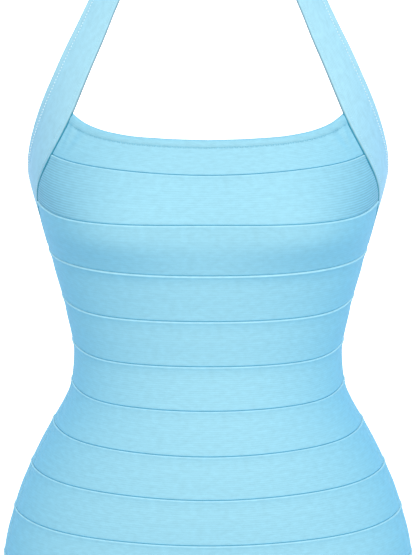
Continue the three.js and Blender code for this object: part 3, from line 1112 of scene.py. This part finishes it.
@dataclass(frozen=True)
class KnitFinish:
    """A fine ribbed knit with a soft sheen, with painted shade and a painted highlight in its colour."""

    name: str
    lit: tuple[float, float, float] = (0.281, 0.583, 0.714)
    # Painted shade: the darker blue that the colour turns to where the cloth faces away towards the sides.
    turned_shade: tuple[float, float, float] = (0.020, 0.410, 0.745)
    # Painted highlight: a pale colour on the top lip of each band, where light catches the seam's rounded edge.
    lip_highlight: tuple[float, float, float] = (0.540, 0.910, 1.000)
    rib_pitch: float = 0.0019
    rib_depth: float = 0.00007
    loop_pitch: float = 0.00078
    # Painted shade in the rib valleys: rib_shade everywhere, side_rib_shade more where the cloth turns away towards
    # the sides.
    rib_shade: float = 0.025
    side_rib_shade: float = 0.0
    # Painted shade: darker colour near a band's edges, in the seam grooves, and along the strap's front edge.
    groove_reach: float = 0.00040
    groove_shade: float = 0.15
    lip_highlight_width: float = 0.0012
    lip_highlight_share: float = 0.62
    # Painted shade in the neck hem's fold: darker from the edge down to the hem line, clearing over hem_fall.
    hem_line: float = 0.0086
    hem_fall: float = 0.0010
    hem_shade: float = 0.0
    band_depth: float = BAND_DEPTH
    roughness: float = 0.58
    sheen: float = 0.12
    sheen_roughness: float = 0.45
    heather: float = 0.10
    mottle: float = 0.24

    def build(self) -> bpy.types.Material:
        """Make the material."""
        graph = Graph(self.name)
        cloth = graph.add("ShaderNodeUVMap", {"uv_map": "cloth"})
        split = graph.node("ShaderNodeSeparateXYZ", None, {0: cloth})
        along, down = Value(graph, split.outputs[0]), Value(graph, split.outputs[1])
        place = graph.add("ShaderNodeTexCoord", None, None, "Object")
        waver = graph.add("ShaderNodeTexNoise", None, {"Vector": place, "Scale": 160.0, "Detail": 2.0})
        fibre = graph.add("ShaderNodeTexNoise", None, {"Vector": place, "Scale": 2600.0, "Detail": 2.0})
        streaks = graph.add(
            "ShaderNodeVectorMath", {"operation": "MULTIPLY"}, {0: cloth, 1: (150.0, 330.0, 1.0)}
        )
        blotch = graph.add("ShaderNodeTexNoise", None, {"Vector": streaks, "Scale": 1.0, "Detail": 2.0})
        rib = ((down * (2 * math.pi / self.rib_pitch) + waver * 1.6).sine() + 1.0) * 0.5
        loop = ((along * (2 * math.pi / self.loop_pitch) + rib * 1.5).sine() + 1.0) * 0.5
        height = rib * 0.70 + rib * loop * 0.22 + fibre * 0.30
        bump = graph.add(
            "ShaderNodeBump", None, {"Strength": 0.75, "Distance": self.rib_depth, "Height": height}
        )
        edge = down.least(self.band_depth - down).most(0.0)
        # Painted shade: darker near both edges of a band, where the seam grooves lie.
        groove_shade_mask = (1.0 - edge / self.groove_reach).most(0.0)
        # Painted shade: the colour goes from the lit colour to a darker blue as the surface turns away from the
        # camera.
        facing = graph.add("ShaderNodeLayerWeight", None, {"Blend": 0.38}, "Facing")
        colour = graph.mix(facing, (*self.lit, 1.0), (*self.turned_shade, 1.0))
        # Painted highlight: the colour turns paler within a lip's width of the band's upper edge.
        lip_highlight = (1.0 - down / self.lip_highlight_width).most(0.0).least(1.0) * self.lip_highlight_share
        colour = graph.mix(lip_highlight, colour, (*self.lip_highlight, 1.0))
        # Painted shade: the neck hem darkens from its edge down to the hem line and clears below it.
        below_hem = ((down - self.hem_line) / self.hem_fall).most(0.0).least(1.0)
        hem = (down / self.hem_line).least(1.0) ** 2.0 * (1.0 - below_hem)
        # Painted shade: the rib valleys darken, more so where the surface turns away towards the sides.
        rib_valley_shade = (1.0 - rib) * (self.rib_shade + facing * self.side_rib_shade)
        dim = 1.0 - rib_valley_shade - groove_shade_mask * self.groove_shade - hem * self.hem_shade
        dim = dim * (1.0 + (fibre - 0.5) * self.heather + (blotch - 0.5) * self.mottle)
        shade = graph.add("ShaderNodeVectorMath", {"operation": "SCALE"}, {0: colour, "Scale": dim})
        shader = graph.add("ShaderNodeBsdfPrincipled", None, {
            "Base Color": shade,
            "Roughness": self.roughness + fibre * 0.08,
            "Normal": bump,
            "IOR": 1.45,
            "Specular IOR Level": 0.35,
            "Sheen Weight": self.sheen,
            "Sheen Roughness": self.sheen_roughness,
            "Sheen Tint": (0.75, 0.88, 1.0, 1.0),
        })
        return graph.finish(shader)


@dataclass(frozen=True)
class ThreadFinish:
    """Twisted sewing thread."""

    name: str
    colour: tuple[float, float, float]
    twist_pitch: float = 0.0006
    roughness: float = 0.5

    def build(self) -> bpy.types.Material:
        """Make the material."""
        graph = Graph(self.name)
        cloth = graph.add("ShaderNodeUVMap", {"uv_map": "cloth"})
        split = graph.node("ShaderNodeSeparateXYZ", None, {0: cloth})
        along, around = Value(graph, split.outputs[0]), Value(graph, split.outputs[1])
        twist = (((along + around) * (2 * math.pi / self.twist_pitch)).sine() + 1.0) * 0.5
        bump = graph.add("ShaderNodeBump", None, {"Strength": 0.6, "Distance": 0.00005, "Height": twist})
        tone = graph.mix(twist, (*(c * 0.82 for c in self.colour), 1.0), (*self.colour, 1.0))
        shader = graph.add("ShaderNodeBsdfPrincipled", None, {
            "Base Color": tone,
            "Roughness": self.roughness + twist * 0.1,
            "Normal": bump,
            "Sheen Weight": 0.2,
        })
        return graph.finish(shader)


@dataclass(frozen=True)
class SweepFinish:
    """The pale matt paper of the floor and backdrop."""

    name: str = "studio_paper"
    tone: float = 0.70
    glow: float = 0.95
    glow_from: float = 0.3
    glow_to: float = 1.1

    def build(self) -> bpy.types.Material:
        """Make the material."""
        graph = Graph(self.name)
        place = graph.add("ShaderNodeTexCoord", None, None, "Object")
        grain = graph.add("ShaderNodeTexNoise", None, {"Vector": place, "Scale": 300.0})
        depth = Value(graph, graph.node("ShaderNodeSeparateXYZ", None, {0: place}).outputs[1])
        behind = ((depth - self.glow_from) / (self.glow_to - self.glow_from)).most(0.0).least(1.0)
        shader = graph.add("ShaderNodeBsdfPrincipled", None, {
            "Base Color": (self.tone, self.tone, self.tone, 1.0),
            "Roughness": 0.9 + grain * 0.05,
            "Emission Color": graph.mix(behind, (0.0, 0.0, 0.0, 1.0), (1.0, 1.0, 1.0, 1.0)),
            "Emission Strength": self.glow,
        })
        return graph.finish(shader)


@dataclass(frozen=True)
class SoftBox:
    """One large soft light."""

    name: str
    place: tuple[float, float, float]
    size: tuple[float, float]
    power: float
    tint: tuple[float, float, float] = (1.0, 1.0, 1.0)

    def build(self, target: tuple[float, float, float]) -> bpy.types.Object:
        """Hang the light and turn it to the dress.

        Args:
            target: The point it faces.

        Returns:
            The light.
        """
        data = bpy.data.lights.new(self.name, "AREA")
        data.shape = "RECTANGLE"
        data.size, data.size_y = self.size
        data.energy = self.power
        data.color = self.tint
        lamp = bpy.data.objects.new(self.name, data)
        lamp.location = self.place
        away = np.subtract(self.place, target)
        flat = math.hypot(away[0], away[1])
        lamp.rotation_euler = (math.atan2(flat, away[2]), 0.0, math.atan2(away[0], -away[1]))
        bpy.context.scene.collection.objects.link(lamp)
        return lamp


@dataclass
class Studio:
    """The floor and backdrop, the lights and the camera."""

    target: tuple[float, float, float] = (0.0, -0.090, -0.306)
    distance: float = 2.400
    elevation: float = 11.0
    lens: float = 181.9
    floor: float = -0.95
    half_width: float = 4.5
    near: float = -4.5
    far: float = 1.6
    rise: float = 3.2
    bend: float = 0.9
    ambient: float = 0.88
    boxes: tuple[SoftBox, ...] = (
        SoftBox("key_box", (0.6, -2.5, 0.7), (2.0, 1.6), 36.5, (1.0, 0.995, 0.985)),
        SoftBox("side_box", (-2.2, -1.2, 0.3), (1.2, 1.8), 2.8, (0.97, 0.98, 1.0)),
    )

    def sweep(self) -> bpy.types.Object:
        """Make the paper that curves from the floor up behind the dress."""
        turn = np.linspace(0.0, math.pi / 2, 17)
        y = np.concatenate([[self.near], self.far + self.bend * np.sin(turn), [self.far + self.bend]])
        z = np.concatenate([[0.0], self.bend * (1 - np.cos(turn)), [self.rise]]) + self.floor
        x = np.linspace(-self.half_width, self.half_width, 9)
        outer = np.stack(np.broadcast_arrays(x[None, :], y[:, None], z[:, None]), axis=-1)
        inner = outer + np.array([0.0, 0.004, -0.004])
        piece = Mesher.wall("paper_sweep", outer, inner, outer[..., :2])
        piece.data.materials.append(SweepFinish().build())
        return piece

    def build(self) -> list[bpy.types.Object]:
        """Set the whole studio up and return what stands in it."""
        scene = bpy.context.scene
        scene.view_settings.view_transform = "Standard"
        world = bpy.data.worlds.new("studio")
        world.use_nodes = True
        world.node_tree.nodes["Background"].inputs["Color"].default_value = (1.0, 1.0, 1.0, 1.0)
        world.node_tree.nodes["Background"].inputs["Strength"].default_value = self.ambient
        scene.world = world
        camera = bpy.data.objects.new("camera", bpy.data.cameras.new("camera"))
        camera.data.lens = self.lens
        tilt = math.radians(self.elevation)
        back = np.array([0.0, -math.cos(tilt), math.sin(tilt)]) * self.distance
        camera.location = np.add(self.target, back)
        camera.rotation_euler = (math.pi / 2 - tilt, 0.0, 0.0)
        scene.collection.objects.link(camera)
        scene.camera = camera
        return [self.sweep(), *(box.build(self.target) for box in self.boxes)]


@dataclass
class BodyconDress:
    """The whole dress: its bands, edge band, strap and sewing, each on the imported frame."""

    sewing: Sewing = field(default_factory=Sewing)
    band_finish: KnitFinish = KnitFinish("band_knit")
    # The top band's finish paints shade into its neck hem fold and only a faint painted highlight on its lip.
    top_finish: KnitFinish = KnitFinish("top_band_knit", hem_shade=0.10, lip_highlight_share=0.15)
    # Painted shade: the band over the fullest part gets darker rib valleys towards the sides.
    full_finish: KnitFinish = KnitFinish("full_band_knit", rib_pitch=0.00175, rib_shade=0.0, side_rib_shade=0.62)
    # The strap's groove settings paint shade along its front edge, and it has no painted lip highlight.
    strap_finish: KnitFinish = KnitFinish(
        "strap_knit", lit=(0.350, 0.630, 0.740), turned_shade=(0.185, 0.520, 0.830), band_depth=1.0, groove_reach=0.0008, groove_shade=0.5, lip_highlight_share=0.0, rib_shade=0.03, rib_pitch=0.0012
    )
    thread_finish: ThreadFinish = ThreadFinish("pale_thread", (0.76, 0.95, 1.00))
    edge_finish: ThreadFinish = ThreadFinish("edge_thread", (0.50, 0.80, 0.90))
    hem_finish: ThreadFinish = ThreadFinish("hem_thread", (0.18, 0.54, 0.69))
    # Painted shade: a real joining yarn, coloured as the cloth in shade to draw the dark seam lines between bands and
    # beside the strap.
    shaded_yarn_finish: ThreadFinish = ThreadFinish("joining_yarn_shaded", (0.015, 0.33, 0.48))

    def dress(self, piece: bpy.types.Object, material: bpy.types.Material) -> bpy.types.Object:
        """Give a piece its finish and put it on the dress's one body."""
        piece.data.materials.append(material)
        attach(piece, "root")
        LOG.info("%s: %d faces", piece.name, len(piece.data.polygons))
        return piece

    def cloth(
        self, node: str, patch: Patch, material: bpy.types.Material, slot: str, sewn: Sequence[bpy.types.Object]
    ) -> bpy.types.Object:
        """Make one cloth in place of its CAD node.

        Args:
            node: The CAD node's name.
            patch: The cloth laid on the figure.
            material: Its finish.
            slot: The record's slot for it; not used.
            sewn: The stitches and yarn on it; not used.

        Returns:
            The cloth.
        """
        piece = self.dress(patch.build(f"{node}_cloth"), material)
        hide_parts(node)
        cut = patch.cut(WEAR.stretch)
        LOG.info("%s: cut %.0f by %.0f mm", node, cut.width * 1000, cut.length * 1000)
        return piece

    def build(self) -> None:
        """Build every piece in order, from the neckline down."""
        band_knit, strap_knit = self.band_finish.build(), self.strap_finish.build()
        top_knit, full_knit = self.top_finish.build(), self.full_finish.build()
        thread, yarn = self.thread_finish.build(), self.shaded_yarn_finish.build()
        edge_thread, hem_thread = self.edge_finish.build(), self.hem_finish.build()
        bands = [Band(Panel.FRONT, number) for number in range(1, SEAM_COUNT + 1)]
        bands += [Band(Panel.BACK, number) for number in range(FIRST_BACK_BAND, SEAM_COUNT + 1)]
        for band in bands:
            sewn = []
            if not band.is_top:
                sewn.append(self.dress(self.sewing.join(band), yarn))
            if band.is_top:
                line = 0.0090
                stitches = self.sewing.hem("neck_hem_stitches", band, (line,), float(band.neck_hem.at(line)))
                sewn.append(self.dress(stitches, hem_thread))
            if band.is_bottom:
                name = f"{band.panel.value}_hem_stitches"
                depths = (BAND_DEPTH - 0.0232, BAND_DEPTH - 0.0200)
                sewn.append(self.dress(self.sewing.hem(name, band, depths, 0.0027), thread))
            finish = top_knit if band.is_top else full_knit if band.is_full else band_knit
            self.cloth(band.node, band.patch(), finish, "band_knit", sewn)
        top = BackTop()
        stitches = self.dress(
            self.sewing.hem("back_top_stitches", top, (0.0036,), 0.0022), thread
        )
        self.cloth(top.node, top.patch(), strap_knit, "strap_knit", [stitches])
        strap = HalterStrap()
        armhole, front, seam = self.sewing.strap(strap)
        rows = [
            self.dress(row, material)
            for row, material in ((armhole, thread), (front, edge_thread), (seam, yarn))
        ]
        self.cloth(strap.node, strap.patch(), strap_knit, "strap_knit", rows)


def main() -> None:
    """Build the dress and the studio."""
    logging.basicConfig(level=logging.INFO, format="%(message)s")
    BodyconDress().build()
    Studio().build()


if __name__ == "__main__":
    main()
